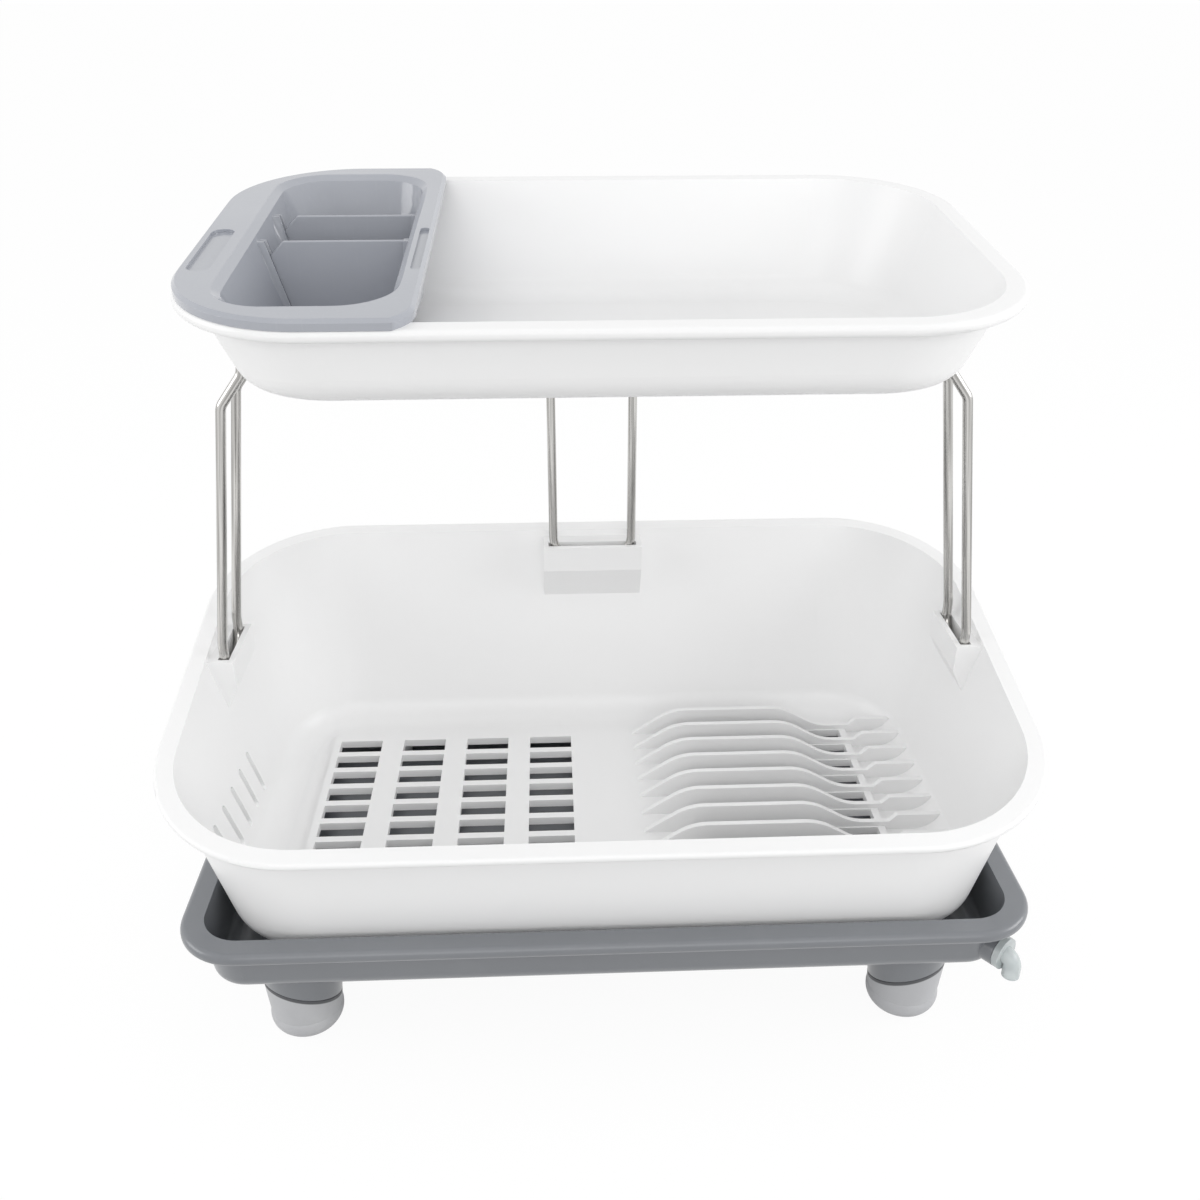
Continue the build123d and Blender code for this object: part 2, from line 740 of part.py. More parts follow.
with BuildPart() as cutlery_holder:
    add(flange_plate())
    add(holder_block(holder_floor_z - holder_wall, -holder_wall))
    split(bisect_by=flange_top_plane, keep=Keep.BOTTOM)
    add(holder_cavity(), mode=Mode.SUBTRACT)
    across_flange = Axis(flange_top_plane.origin, flange_top_plane.z_dir)
    flange_top = cutlery_holder.faces().sort_by(across_flange)[-1]
    chamfer(flange_top.outer_wire().edges(), holder_flange_bevel)
    # sloped lip round the mouth
    flange_top = cutlery_holder.faces().sort_by(across_flange)[-1]
    chamfer(flange_top.inner_wires()[0].edges(), holder_lip_bevel)
    # hollows for the fingers in the left and right flange
    for x, width in ((left_grip_x, left_grip_width), (right_grip_x, right_grip_width)):
        with BuildSketch(plane_at(flange_top_plane, x, grip_y)):
            SlotOverall(grip_length, width, rotation=90)
        extrude(amount=-grip_depth, mode=Mode.SUBTRACT)
    with BuildSketch(Plane.XY.offset(holder_floor_z)):
        with Locations(hole_places):
            Circle(drain_hole_radius)
    extrude(amount=-2 * holder_wall, mode=Mode.SUBTRACT)
write(cutlery_holder.part, "cutlery_holder")

# Dividers: thin plates that drop between the guides, with the upper left corner cut off
for place, y in divider_places.items():
    top_z = divider_top(y)
    cut_x = holder_mouth_left_x + divider_chamfer
    with BuildPart() as divider:
        with BuildSketch(Plane(origin=(0, y, 0), x_dir=(1, 0, 0), z_dir=(0, -1, 0))):
            with BuildLine():
                Polyline(
                    (cut_x, top_z),
                    (holder_right_x, top_z),
                    (holder_right_x, holder_floor_z),
                    (holder_mouth_left_x, holder_floor_z),
                    (holder_mouth_left_x, top_z - divider_chamfer),
                    close=True,
                )
            make_face()
        extrude(amount=divider_thick / 2, both=True)
        add(holder_block(holder_floor_z, divider_gap), mode=Mode.INTERSECT)
    write(divider.part, f"{place}_divider")
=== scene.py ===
# %% [markdown]
# Dish drying rack, dressed for a studio picture.
# The solids come from the construction model and stay exactly where they are. This lesson
# gives each of them a finish, bends the wire legs anew, rounds the edges of the plate ribs,
# the cutlery holder and its dividers, and sets the light and the camera.

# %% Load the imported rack
import json
import math

import bmesh
import bpy
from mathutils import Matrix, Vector


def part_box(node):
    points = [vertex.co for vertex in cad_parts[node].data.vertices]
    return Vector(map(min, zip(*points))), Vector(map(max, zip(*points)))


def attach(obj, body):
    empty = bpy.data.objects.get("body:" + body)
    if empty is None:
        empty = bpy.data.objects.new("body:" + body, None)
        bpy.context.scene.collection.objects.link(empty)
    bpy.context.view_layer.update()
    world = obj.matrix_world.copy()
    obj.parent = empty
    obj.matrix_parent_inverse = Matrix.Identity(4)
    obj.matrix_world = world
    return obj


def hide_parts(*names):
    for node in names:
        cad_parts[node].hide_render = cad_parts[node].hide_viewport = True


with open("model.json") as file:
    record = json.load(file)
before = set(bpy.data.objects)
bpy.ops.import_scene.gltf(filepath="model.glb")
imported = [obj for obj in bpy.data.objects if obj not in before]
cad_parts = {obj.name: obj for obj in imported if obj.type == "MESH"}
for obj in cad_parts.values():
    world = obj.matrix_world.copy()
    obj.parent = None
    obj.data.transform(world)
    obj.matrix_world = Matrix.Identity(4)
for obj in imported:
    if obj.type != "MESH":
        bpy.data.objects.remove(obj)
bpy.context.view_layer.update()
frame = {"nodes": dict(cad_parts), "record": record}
nodes = frame["nodes"]

# %% [markdown]
# Finishes are written as shader maths. Each step of a formula is a Math node, and wiring
# these one by one hides the formula. So a small class holds one socket and lets plain
# operators add the Math nodes.


# %% Shader maths
class Sock:
    """One output socket of a material, with the operators that the finishes need."""

    def __init__(self, tree, socket):
        self.tree = tree
        self.socket = socket

    def _math(self, operation, first, second):
        made = self.tree.nodes.new("ShaderNodeMath")
        made.operation = operation
        for place, value in enumerate((first, second)):
            if isinstance(value, Sock):
                self.tree.links.new(value.socket, made.inputs[place])
            else:
                made.inputs[place].default_value = value
        return Sock(self.tree, made.outputs[0])

    def __add__(self, other):
        return self._math("ADD", self, other)

    def __radd__(self, other):
        return self._math("ADD", other, self)

    def __sub__(self, other):
        return self._math("SUBTRACT", self, other)

    def __rsub__(self, other):
        return self._math("SUBTRACT", other, self)

    def __mul__(self, other):
        return self._math("MULTIPLY", self, other)

    def __rmul__(self, other):
        return self._math("MULTIPLY", other, self)


# %% [markdown]
# Every other node comes from one function. It takes the node's type, its settings, and a
# value or a link for each socket by name. A Mix node has several sockets of the same name,
# one for each kind of data, so the function looks only among those that are in use.


# %% Any other node
def in_use(sockets, name):
    """The socket of that name that the node's settings leave in use."""
    return next(socket for socket in sockets if socket.enabled and socket.name == name)


def feed(tree, node, values):
    """Gives the sockets of a node, by name, a value or a link."""
    for key, value in values.items():
        target = in_use(node.inputs, key.replace("_", " "))
        source = value.socket if isinstance(value, Sock) else value
        if isinstance(source, bpy.types.NodeSocket):
            tree.links.new(source, target)
        else:
            target.default_value = source


def add_node(tree, kind, settings=None, **values):
    """Adds a node to a tree: its type, its settings, then its sockets."""
    made = tree.nodes.new(kind)
    for key, value in (settings or {}).items():
        setattr(made, key, value)
    feed(tree, made, values)
    return made


# %% [markdown]
# A finish is one Principled shader and the patterns that feed it. Most are read from Object
# coordinates, which need no unwrapped surface and have the scale of the object, in metres: a
# noise of scale 100 has spots of about a centimetre.


# %% A finish under construction
class Finish:
    """A material with one Principled shader, and the few patterns that the rack needs."""

    def __init__(self, name):
        self.material = bpy.data.materials.new(name)
        self.material.use_nodes = True
        self.tree = self.material.node_tree
        self.place = self.node("ShaderNodeTexCoord", out="Object")

    def node(self, kind, settings=None, out=None, **values):
        """Adds any node and returns its first output, or the one that out names."""
        made = add_node(self.tree, kind, settings, **values)
        return Sock(self.tree, in_use(made.outputs, out) if out else made.outputs[0])

    def noise(self, scale, detail=2.0, where=None):
        where = where or self.place
        return self.node("ShaderNodeTexNoise", out="Fac", Vector=where, Scale=scale, Detail=detail)

    def stretched(self, factors, where=None):
        """Coordinates that are multiplied by a factor on each axis."""
        return self.node("ShaderNodeMapping", Vector=where or self.place, Scale=factors)

    def ramp(self, value, low, high):
        """A value that goes from 0 at low to 1 at high."""
        return self.node("ShaderNodeMapRange", out="Result", Value=value, From_Min=low, From_Max=high)

    def mix(self, share, first, second):
        """The first colour where share is 0, the second where it is 1."""
        colours = {"data_type": "RGBA"}
        return self.node("ShaderNodeMix", colours, out="Result", Factor=share, A=first, B=second)

    def bump(self, height, strength, distance):
        return self.node("ShaderNodeBump", Height=height, Strength=strength, Distance=distance)

    def shade(self, **values):
        """Gives the sockets of the Principled shader a value or a link."""
        feed(self.tree, self.tree.nodes["Principled BSDF"], values)


def colour(red, green, blue):
    return (red, green, blue, 1.0)


# %% [markdown]
# The basket and the upper tray are white polypropylene, pressed hot into a mould. That leaves
# a gloss that is never quite even, wide soft clouds of tone where the melt cooled at different
# speeds, and a skin with a faint orange peel. All of it is weak, but without it white plastic
# looks like plaster. Scratches and stains are left out: on white they read as dirt at once.

# %% White plastic
plastic_ior = 1.49
finishes = {}


def keep_finish(slot, finish):
    """Files a finish under the material slot that it is for."""
    finishes[slot] = finish.material
    print(slot, "shader nodes:", len(finish.tree.nodes))


def white_plastic():
    finish = Finish("white_pressed_plastic")
    thin_white = colour(0.874, 0.875, 0.877)
    full_white = colour(0.892, 0.892, 0.893)
    warm_white = colour(0.880, 0.877, 0.870)
    cloud = finish.noise(scale=6.0)
    flow = finish.noise(scale=22.0, where=finish.stretched((0.4, 1.0, 1.0)))
    skin = finish.noise(scale=420.0)
    base = finish.mix(cloud, thin_white, full_white)
    finish.shade(
        Base_Color=finish.mix(flow * 0.30, base, warm_white),
        Roughness=0.29 + flow * 0.05 + cloud * 0.04,
        Normal=finish.bump(skin, strength=0.03, distance=0.0003),
        IOR=plastic_ior,
    )
    return finish


keep_finish("white_plastic", white_plastic())

# %% [markdown]
# The drip tray is darker grey and moulded against a blasted tool, so it is satin with a fine
# grain. Even so its rim draws a clear light line along each edge. More gloss would lose the
# satin, so a weak, smooth coat lies over the rough base. Dried water leaves pale rings and
# clouds.


# %% Grey plastic
def grey_plastic():
    finish = Finish("grey_satin_plastic")
    deep_grey = colour(0.172, 0.181, 0.196)
    full_grey = colour(0.196, 0.206, 0.221)
    dried_grey = colour(0.27, 0.28, 0.29)
    grain = finish.noise(scale=1500.0, detail=1.0)
    cloud = finish.noise(scale=14.0, detail=4.0)
    water = finish.ramp(finish.noise(scale=46.0, detail=5.0), low=0.58, high=0.74)
    base = finish.mix(cloud, deep_grey, full_grey)
    finish.shade(
        Base_Color=finish.mix(water * 0.12, base, dried_grey),
        Roughness=0.31 + water * 0.10 + grain * 0.06,
        Normal=finish.bump(grain, strength=0.10, distance=0.0002),
        Coat_Weight=0.4,
        Coat_Roughness=0.12,
        IOR=plastic_ior,
    )
    return finish


keep_finish("grey_plastic", grey_plastic())

# %% [markdown]
# The cutlery holder and its dividers are a lighter, glossier grey. Cutlery rubs bright
# hairlines into the walls, mostly up and down. A fine noise that is pulled long on the
# vertical axis gives them, with no drawing of single scratches.


# %% Holder plastic
def holder_plastic():
    finish = Finish("grey_gloss_plastic")
    deep_grey = colour(0.365, 0.380, 0.420)
    full_grey = colour(0.405, 0.420, 0.458)
    rubbed_grey = colour(0.46, 0.47, 0.50)
    cloud = finish.noise(scale=18.0, detail=3.0)
    upright = finish.stretched((1.0, 1.0, 0.05))
    rub = finish.ramp(finish.noise(scale=700.0, detail=1.0, where=upright), low=0.62, high=0.74)
    skin = finish.noise(scale=500.0)
    base = finish.mix(cloud, deep_grey, full_grey)
    finish.shade(
        Base_Color=finish.mix(rub * 0.12, base, rubbed_grey),
        Roughness=0.13 + rub * 0.06 + cloud * 0.06,
        Normal=finish.bump(skin * 0.8 + rub * 0.2, strength=0.05, distance=0.0003),
        Coat_Weight=0.15 + cloud * 0.2,
        IOR=plastic_ior,
    )
    return finish


keep_finish("holder_plastic", holder_plastic())

# %% [markdown]
# The soles are a pale soft rubber: matte and a little dusty, with painted shade darkening them
# where they meet the table. Each is pressed on a boss of the drip tray along a slanted seam, and
# a dark band of painted shade just under the seam stands in for the shade in its groove. The four
# seams are mirror images of each other, so one formula in the distances from the foot's axis
# serves for all of them.

# %% Where the feet stand
feet = [mount["pos_m"] for mount in frame["record"]["mounts"]]
foot_x = max(place[0] for place in feet)
foot_front = -min(place[1] for place in feet)
foot_back = max(place[1] for place in feet)
print("feet:", len(feet), "to the sides in mm:", round(1000 * foot_x))

# %% Sole rubber
seam_height = 0.025
seam_slant = math.radians(25.0)
seam_rise = math.tan(seam_slant) / math.sqrt(2)
# The painted seam shade is full down to this depth under the seam, and gone a little lower.
seam_shade_depth = 0.0022
seam_shade_fade = 1.3 * seam_shade_depth
# Height over the table at which the painted shade at the foot of each sole begins.
table_shade_height = 0.006


def below_the_seam(finish, x, y, z):
    """How far a point of a sole lies under its seam, which rises outwards along the diagonal."""
    absolute = {"operation": "ABSOLUTE"}
    sign = {"operation": "SIGN"}
    out_x = finish.node("ShaderNodeMath", absolute, Value=x) - foot_x
    behind = (finish.node("ShaderNodeMath", sign, Value=y) + 1.0) * 0.5
    out_y = finish.node("ShaderNodeMath", absolute, Value=y) - foot_front
    out_y = out_y + behind * (foot_front - foot_back)
    return seam_height + (out_x + out_y) * seam_rise - z


def sole_rubber():
    finish = Finish("pale_sole_rubber")
    rubber_grey = colour(0.50, 0.505, 0.52)
    dusty_grey = colour(0.56, 0.565, 0.575)
    # The two darkest greys are painted shade: one where the sole meets the table, one in the seam's
    # groove.
    table_shade_grey = colour(0.27, 0.265, 0.26)
    seam_shade_black = colour(0.06, 0.062, 0.068)
    grain = finish.noise(scale=1100.0)
    dust = finish.ramp(finish.noise(scale=60.0, detail=4.0), low=0.42, high=0.75)
    x, y, z = [finish.node("ShaderNodeSeparateXYZ", out=axis, Vector=finish.place) for axis in "XYZ"]
    # Painted shade: a near-black band just under the seam stands in for the shade in its groove.
    seam = finish.ramp(below_the_seam(finish, x, y, z), seam_shade_fade, seam_shade_depth)
    # Painted shade: the sole darkens towards the table over its lowest few millimetres.
    table_shade = finish.ramp(z, table_shade_height, 0.0)
    base = finish.mix(dust, rubber_grey, dusty_grey)
    table_shaded = finish.mix(table_shade * 0.4, base, table_shade_grey)
    finish.shade(
        Base_Color=finish.mix(seam * 0.95, table_shaded, seam_shade_black),
        Roughness=0.46 + dust * 0.18,
        Normal=finish.bump(grain, strength=0.12, distance=0.0003),
        IOR=1.45,
    )
    return finish


keep_finish("sole_rubber", sole_rubber())

# %% [markdown]
# The drain spout is clear plastic that has gone slightly milky. Glass alone would vanish on
# a white ground, so only a third of its light goes through, and the rest shows a pale tone
# that wanders between two tints.


# %% Spout plastic
def spout_plastic():
    finish = Finish("milky_clear_plastic")
    clear_tint = colour(0.66, 0.72, 0.73)
    milky_tint = colour(0.80, 0.84, 0.84)
    milk = finish.noise(scale=160.0, detail=3.0)
    skin = finish.noise(scale=800.0, detail=1.0)
    finish.shade(
        Base_Color=finish.mix(milk, clear_tint, milky_tint),
        Roughness=0.12 + milk * 0.12,
        Normal=finish.bump(skin, strength=0.05, distance=0.0003),
        Transmission_Weight=0.35,
        IOR=1.46,
    )
    return finish


keep_finish("spout_plastic", spout_plastic())

# %% [markdown]
# The legs are drawn stainless wire. Bright and dark lines run along the wire and round its
# bends: partly marks of the die, partly painted reflection that stands in for the streaks a
# polished wire mirrors. Object coordinates can't follow a bend, so the legs below carry an
# attribute with the place round the wire and the way along it, and the lines are noise that is
# stretched far along the way.


# %% Leg wire
def leg_wire():
    finish = Finish("drawn_stainless_wire")
    dark_line_and_reflection_steel = colour(0.30, 0.295, 0.285)
    bright_line_and_reflection_steel = colour(0.72, 0.71, 0.69)
    dull_steel = colour(0.56, 0.55, 0.53)
    track = finish.node("ShaderNodeAttribute", {"attribute_name": "wire_track"}, out="Vector")
    # Painted reflection, with die marks: the stretched noise draws dark and bright streaks along the wire.
    lines = finish.noise(scale=1.0, where=finish.stretched((900, 900, 14), track))
    fine = finish.noise(scale=1.0, detail=1.0, where=finish.stretched((4000, 4000, 40), track))
    blotch = finish.noise(scale=70.0, detail=3.0)
    base = finish.mix(finish.ramp(lines, low=0.36, high=0.64), dark_line_and_reflection_steel, bright_line_and_reflection_steel)
    finish.shade(
        Base_Color=finish.mix(blotch * 0.3, base, dull_steel),
        Roughness=0.12 + fine * 0.07 + blotch * 0.06,
        Metallic=1.0,
        Normal=finish.bump(fine, strength=0.06, distance=0.0002),
    )
    return finish


keep_finish("leg_wire", leg_wire())

# %% [markdown]
# The record says which material slot each solid has. The finishes are filed by the same
# names, so one loop hands them out, and a solid that is added later gets its finish too.

# %% Put the finishes on the solids
for entry in frame["record"]["subparts"]:
    mesh = nodes[entry["node"]].data
    mesh.materials.clear()
    mesh.materials.append(finishes[entry["material_slot"]])

# %% [markdown]
# Each leg is one length of wire, bent round a few pins. That is a rule: straight runs between
# corner points, a bend at each corner, and a round section carried along. Geometry Nodes say
# exactly this. The points go in as a chain of edges with the bend radius of each corner as an
# attribute. The tree turns the chain into a curve, rounds its corners and sweeps a circle
# along it, and it stores the attribute that the wire's finish reads.

# %% Inputs of the tree that bends a wire
wire_inputs = {
    "Route": "NodeSocketGeometry",
    "Wire radius": "NodeSocketFloat",
    "Points in a bend": "NodeSocketInt",
    "Points round": "NodeSocketInt",
    "Finish": "NodeSocketMaterial",
}
bent_wire = bpy.data.node_groups.new("bent_wire", "GeometryNodeTree")
for name, kind in wire_inputs.items():
    bent_wire.interface.new_socket(name, in_out="INPUT", socket_type=kind)
bent_wire.interface.new_socket("Wire", in_out="OUTPUT", socket_type="NodeSocketGeometry")
print("inputs of the wire tree:", list(wire_inputs))


# %% Curve along the bends, and the way along it
def remember(geometry, name, vector):
    """Stores a vector on each point of a geometry."""
    made = add_node(
        bent_wire,
        "GeometryNodeStoreNamedAttribute",
        {"data_type": "FLOAT_VECTOR", "domain": "POINT"},
        Geometry=geometry,
        Name=name,
        Value=vector,
    )
    return made.outputs["Geometry"]


def recall(name, kind="FLOAT_VECTOR"):
    """Reads an attribute that was stored on the points."""
    made = add_node(bent_wire, "GeometryNodeInputNamedAttribute", {"data_type": kind}, Name=name)
    return made.outputs["Attribute"]


def bent_curve(route, points):
    chain = add_node(bent_wire, "GeometryNodeMeshToCurve", Mesh=route)
    rounded = add_node(
        bent_wire,
        "GeometryNodeFilletCurve",
        {"mode": "POLY"},
        Curve=chain.outputs["Curve"],
        Count=points,
        Radius=recall("bend", "FLOAT"),
    )
    length = add_node(bent_wire, "GeometryNodeSplineParameter").outputs["Length"]
    along = add_node(bent_wire, "ShaderNodeCombineXYZ", Z=length)
    return remember(rounded.outputs["Curve"], "way", along.outputs["Vector"])


# %% Round section carried along the curve
def swept_wire(curve, radius, points):
    section = add_node(bent_wire, "GeometryNodeCurvePrimitiveCircle", Resolution=points, Radius=radius)
    place = add_node(bent_wire, "GeometryNodeInputPosition").outputs["Position"]
    ring = remember(section.outputs["Curve"], "round", place)
    swept = add_node(bent_wire, "GeometryNodeCurveToMesh", Curve=curve, Profile_Curve=ring, Fill_Caps=True)
    track = add_node(bent_wire, "ShaderNodeVectorMath", {"operation": "ADD"})
    bent_wire.links.new(recall("way"), track.inputs[0])
    bent_wire.links.new(recall("round"), track.inputs[1])
    return remember(swept.outputs["Mesh"], "wire_track", track.outputs["Vector"])


given = add_node(bent_wire, "NodeGroupInput").outputs
curve = bent_curve(given["Route"], given["Points in a bend"])
wire = swept_wire(curve, given["Wire radius"], given["Points round"])
real = add_node(bent_wire, "GeometryNodeRealizeInstances", Geometry=wire).outputs["Geometry"]
dressed = add_node(bent_wire, "GeometryNodeSetMaterial", Geometry=real, Material=given["Finish"])
add_node(bent_wire, "NodeGroupOutput", Wire=dressed.outputs["Geometry"])
print("wire tree:", len(bent_wire.nodes), "nodes")

# %% [markdown]
# The corner points come from the box of each leg in the construction model, so they stay
# right if the rack is resized. Only the joggle under the upper tray and the heights of the
# bends are sizes of their own.

# %% Routes of the three legs
wire_radius = 0.0025
lean_start = 0.0172
joggle_out = 0.012
joggle_low = 0.044
joggle_high = 0.028
bends = {"tip": 0.0, "foot": 0.010, "lean": 0.030, "joggle": 0.009, "back": 0.014}


def end_leg_route(node, side):
    """Corner points and bend radii of an end leg, from one tip down, across and up again."""
    low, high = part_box(node)
    outer_x = max(abs(low.x), abs(high.x)) - wire_radius
    inner_x = min(abs(low.x), abs(high.x)) + wire_radius
    bottom = low.z + wire_radius
    climb = [
        (inner_x, high.z, bends["tip"]),
        (inner_x, high.z - joggle_high, bends["joggle"]),
        (inner_x + joggle_out, high.z - joggle_low, bends["joggle"]),
        (outer_x, bottom + lean_start, bends["lean"]),
        (outer_x, bottom, bends["foot"]),
    ]
    front = [(side * x, low.y + wire_radius, z, bend) for x, z, bend in climb]
    rear = [(side * x, high.y - wire_radius, z, bend) for x, z, bend in climb]
    return front + rear[::-1]


def back_leg_route(node):
    """Corner points and bend radii of the straight leg behind the tray."""
    low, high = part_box(node)
    y = (low.y + high.y) / 2
    left = low.x + wire_radius
    right = high.x - wire_radius
    bottom = low.z + wire_radius
    return [
        (left, y, high.z, bends["tip"]),
        (left, y, bottom, bends["back"]),
        (right, y, bottom, bends["back"]),
        (right, y, high.z, bends["tip"]),
    ]


routes = {
    "left_leg": end_leg_route("left_leg", -1),
    "right_leg": end_leg_route("right_leg", 1),
    "back_leg": back_leg_route("back_leg"),
}
print("leg corners:", {name: len(route) for name, route in routes.items()})

# %% [markdown]
# A tree works as a modifier. Its result is kept as a plain mesh and the modifier is taken
# off, because only a plain mesh can be handed on to other programs. The wire is smooth all
# round, and only the flat cut at each tip keeps its edge.


# %% Keep what a modifier makes
def put_in_scene(name, data):
    made = bpy.data.objects.new(name, data)
    bpy.context.scene.collection.objects.link(made)
    return made


def keep_result(piece, modifier):
    """Turns what a modifier makes into the piece's plain mesh and removes the modifier."""
    bpy.context.view_layer.update()
    seen = piece.evaluated_get(bpy.context.evaluated_depsgraph_get())
    made = bpy.data.meshes.new_from_object(seen)
    piece.modifiers.remove(modifier)
    piece.data = made
    return made


def run_tree(piece, tree, values):
    """Runs a tree on an object and keeps the result as that object's plain mesh."""
    modifier = piece.modifiers.new("rule", "NODES")
    modifier.node_group = tree
    inputs = {item.name: item.identifier for item in tree.interface.items_tree if item.in_out == "INPUT"}
    for name, value in values.items():
        modifier[inputs[name]] = value
    return keep_result(piece, modifier)


# %% Bend the legs
tip_edge = math.radians(50)
leg_sizes = {
    "Wire radius": wire_radius,
    "Points in a bend": 10,
    "Points round": 20,
    "Finish": finishes["leg_wire"],
}
for name, route in routes.items():
    chain = bpy.data.meshes.new(f"{name}_wire")
    links = [(step, step + 1) for step in range(len(route) - 1)]
    chain.from_pydata([corner[:3] for corner in route], links, [])
    radii = [corner[3] for corner in route]
    chain.attributes.new("bend", "FLOAT", "POINT").data.foreach_set("value", radii)
    leg = put_in_scene(f"{name}_wire", chain)
    mesh = run_tree(leg, bent_wire, leg_sizes)
    mesh.shade_smooth()
    mesh.set_sharp_from_angle(angle=tip_edge)
    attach(leg, "legs")
    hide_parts(name)
    print(name, "faces:", len(mesh.polygons))

# %% [markdown]
# No mould gives a sharp edge, and light shows it: a rounded edge catches a bright line. The
# construction model has the right outlines but keeps small edges sharp. Rounding them all in
# one go would also lift pieces off what they stand on, so a copy of a solid is merged, its
# triangles are joined into flat faces, and only the edges that a test picks are rounded.
# Smooth shading would then bend the look of the flat faces beside a round, so the normals are
# weighted by area: the large faces stay flat and the narrow rounds take up the turn.

# %% A copy with soft edges
merge_distance = 1e-6
flat_join = math.radians(0.05)
round_steps = 3
sharp_edge = math.radians(35)


def rounded_mesh(node, width, picks):
    """A mesh like a solid's, with the picked edges rounded, and how many these are."""
    work = bmesh.new()
    work.from_mesh(nodes[node].data)
    bmesh.ops.remove_doubles(work, verts=work.verts, dist=merge_distance)
    bmesh.ops.dissolve_limit(work, angle_limit=flat_join, verts=work.verts, edges=work.edges)
    edges = [edge for edge in work.edges if len(edge.link_faces) == 2 and picks(edge)]
    bmesh.ops.bevel(
        work, geom=edges, offset=width, offset_type="OFFSET", segments=round_steps, profile=0.5,
        affect="EDGES", clamp_overlap=True,
    )
    mesh = bpy.data.meshes.new(f"{node}_soft")
    work.to_mesh(mesh)
    work.free()
    return mesh, len(edges)


def softened(node, body, slot, width, picks):
    """Replaces a solid by a copy whose picked edges are rounded."""
    mesh, count = rounded_mesh(node, width, picks)
    mesh.materials.clear()
    mesh.materials.append(finishes[slot])
    mesh.shade_smooth()
    mesh.set_sharp_from_angle(angle=sharp_edge)
    piece = put_in_scene(f"{node}_soft", mesh)
    weigh = piece.modifiers.new("flat_faces_stay_flat", "WEIGHTED_NORMAL")
    weigh.keep_sharp = True
    keep_result(piece, weigh)
    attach(piece, body)
    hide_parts(node)
    print(node, "rounded edges:", count, "faces:", len(piece.data.polygons))


# %% [markdown]
# The plate ribs are moulded with the basket. Only their crests are rounded: a rounded foot
# would leave a groove between rib and floor. A crest edge lies between a rib's side, which
# looks along Y, and a face that looks up.

# %% Crests of the plate ribs
crest_round = 0.0011
least_sideways = 0.9
least_up_on_crest = 0.15


def on_crest(edge):
    top, side = sorted(edge.link_faces, key=lambda face: abs(face.normal.y))
    return abs(side.normal.y) > least_sideways and top.normal.z > least_up_on_crest


softened("plate_ribs", "basket", "white_plastic", crest_round, on_crest)

# %% [markdown]
# The holder's flange and the upper edges of its dividers are what the hand meets, and their
# bright edge lines are the first thing that one sees of the holder. They are rounded where
# two faces meet at a clear outer angle and one of them looks up.

# %% Edges of the cutlery holder and its dividers
holder_round = 0.0008
divider_round = 0.0006
clear_angle = math.radians(25)
least_up_on_holder = 0.5


def looks_up(edge):
    clear = edge.is_convex and edge.calc_face_angle() > clear_angle
    return clear and max(face.normal.z for face in edge.link_faces) > least_up_on_holder


softened("cutlery_holder", "holder", "holder_plastic", holder_round, looks_up)
softened("front_divider", "divider_front", "holder_plastic", divider_round, looks_up)
softened("rear_divider", "divider_rear", "holder_plastic", divider_round, looks_up)

# %% [markdown]
# The picture has a white ground. More light would make a pale floor white, but the rack
# would burn out with it. So the floor has two shaders: a dull one that lights the rack as a
# normal floor does, and a glow that the camera, mirrors and clear plastic see. A small share
# of the dull one is left in view, and it carries the shadow.


# %% What the ground shows and what it lights
def seen_ray(tree):
    """1 for rays that show the ground: straight, mirrored or through clear plastic."""
    path = tree.nodes.new("ShaderNodeLightPath")
    camera, gloss, through = [
        Sock(tree, path.outputs[name])
        for name in ("Is Camera Ray", "Is Glossy Ray", "Is Transmission Ray")
    ]
    return camera + gloss + through


def backdrop(tree, output, dull, bright, share):
    """Joins a dull shader, for the light, and a bright one, for what is seen."""
    blend = add_node(tree, "ShaderNodeMixShader", Fac=seen_ray(tree) * share)
    tree.links.new(dull.outputs[0], blend.inputs[1])
    tree.links.new(bright.outputs[0], blend.inputs[2])
    add_node(tree, output, Surface=blend.outputs[0])


# %% Floor
floor_reach = 200.0
floor_share = 0.90
floor_glow = 1.045
floor_grey = colour(0.62, 0.62, 0.62)
pure_white = colour(1.0, 1.0, 1.0)

corners = [(x * floor_reach, y * floor_reach, 0) for x, y in ((-1, -1), (1, -1), (1, 1), (-1, 1))]
floor_mesh = bpy.data.meshes.new("studio_floor")
floor_mesh.from_pydata(corners, [], [(0, 1, 2, 3)])
floor = put_in_scene("studio_floor", floor_mesh)

floor_finish = bpy.data.materials.new("studio_floor")
floor_finish.use_nodes = True
floor_tree = floor_finish.node_tree
floor_tree.nodes.clear()
matte = add_node(floor_tree, "ShaderNodeBsdfDiffuse", Color=floor_grey)
glow = add_node(floor_tree, "ShaderNodeEmission", Color=pure_white, Strength=floor_glow)
backdrop(floor_tree, "ShaderNodeOutputMaterial", matte, glow, floor_share)
floor_mesh.materials.append(floor_finish)
print("floor reaches, in m:", floor_reach)

# %% [markdown]
# The surroundings work like the floor. What is seen is plain white, and what lights the rack
# is a little weaker, so that the lamps still have something to add.

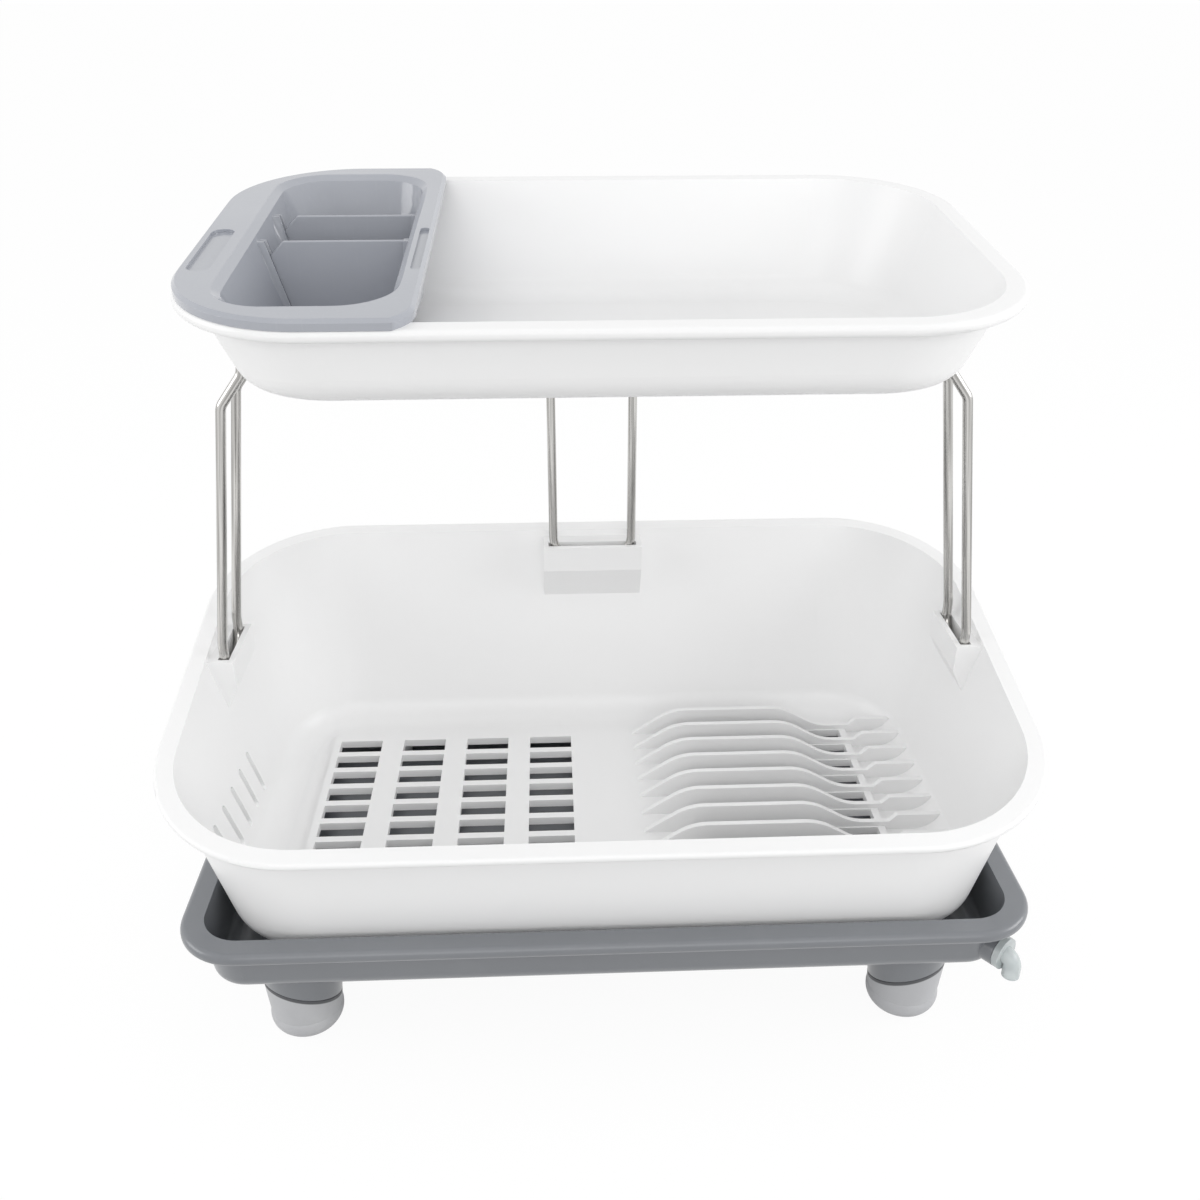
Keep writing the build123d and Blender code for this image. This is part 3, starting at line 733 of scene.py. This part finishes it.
# %% Surroundings
soft_light = 0.79
world = bpy.data.worlds.new("studio")
bpy.context.scene.world = world
world.use_nodes = True
sky_tree = world.node_tree
sky_tree.nodes.clear()
soft = add_node(sky_tree, "ShaderNodeBackground", Color=pure_white, Strength=soft_light)
white = add_node(sky_tree, "ShaderNodeBackground", Color=pure_white)
backdrop(sky_tree, "ShaderNodeOutputWorld", soft, white, 1.0)
bpy.context.scene.view_settings.view_transform = "Standard"
print("light from all round:", soft_light)

# %% [markdown]
# Light: one large soft lamp above, one on each side that lights the inner wall opposite, and
# a low wide one in front that shines in under the upper tray, into the basket. Each is a wide
# area lamp, because a small one would draw hard shadows of the wire.

# %% Lamps
lamp_target = Vector((0.0, 0.0, 0.18))
lamps = {
    "top_softbox": {"place": (0.0, -0.35, 1.5), "size": (1.3, 1.0), "watts": 1.2},
    "left_softbox": {"place": (-1.35, -0.2, 0.62), "size": (0.8, 0.6), "watts": 4.6},
    "right_softbox": {"place": (1.35, -0.2, 0.62), "size": (0.8, 0.6), "watts": 6.2},
    "front_softbox": {"place": (0.1, -1.5, 0.75), "size": (1.4, 0.7), "watts": 5.0},
}
for name, wanted in lamps.items():
    data = bpy.data.lights.new(name, "AREA")
    data.shape = "RECTANGLE"
    data.size, data.size_y = wanted["size"]
    data.energy = wanted["watts"]
    lamp = put_in_scene(name, data)
    lamp.location = wanted["place"]
    lamp.rotation_euler = (lamp_target - Vector(wanted["place"])).to_track_quat("-Z", "Y").to_euler()
    print(name, "watts:", wanted["watts"])

# %% [markdown]
# Camera: a little above and in front, turned slightly to the right. Its place was worked out
# from where the ends of the basket, the feet and the rims fall in the photograph.

# %% Camera
camera_place = (-0.0235, -0.545, 0.463)
camera_down = 26.57
camera_right = 2.47
lens_mm = 36.0
sensor_mm = 36.0

camera_data = bpy.data.cameras.new("camera")
camera_data.lens = lens_mm
camera_data.sensor_width = sensor_mm
camera_data.clip_start = 0.01
camera_data.clip_end = 500.0
camera = put_in_scene("camera", camera_data)
camera.location = camera_place
camera.rotation_euler = (math.radians(90 - camera_down), 0.0, math.radians(-camera_right))
bpy.context.scene.camera = camera
print("camera looks down, in degrees:", camera_down)
